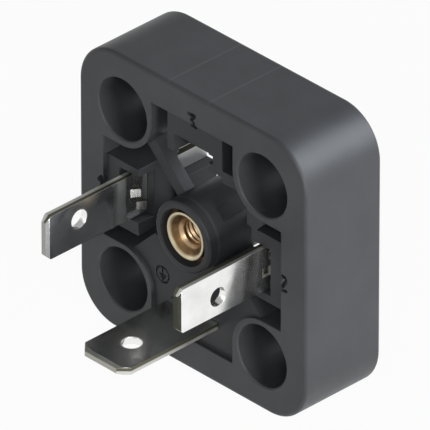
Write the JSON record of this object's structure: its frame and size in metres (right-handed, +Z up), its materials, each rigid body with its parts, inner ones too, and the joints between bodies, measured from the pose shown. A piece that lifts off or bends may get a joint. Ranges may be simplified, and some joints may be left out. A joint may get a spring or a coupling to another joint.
{
  "type": "solenoid valve connector",
  "caption": "Square moulded flange plug with flat blade contacts, corner screw wells and a brass thread in a middle boss, for joining a cable socket to a solenoid valve.",
  "frame": {"origin": "middle of the back face, where the plug meets the valve, centred between the four screw holes", "axes": "+Y out of the back face, so the blades point to -Y; +Z up through the empty contact place, away from the earth blade"},
  "size_m": [0.0308, 0.022, 0.0308],
  "materials": {
    "black_plastic": "black glass-filled moulding, fine satin texture",
    "tinned_sheet": "bright tin plate on stamped brass sheet",
    "brass": "turned brass, plain"
  },
  "bodies": {
    "root": {"housing": "black_plastic", "contact_1": "tinned_sheet", "contact_2": "tinned_sheet", "earth_contact": "tinned_sheet", "threaded_insert": "brass"}
  },
  "joints": []
}
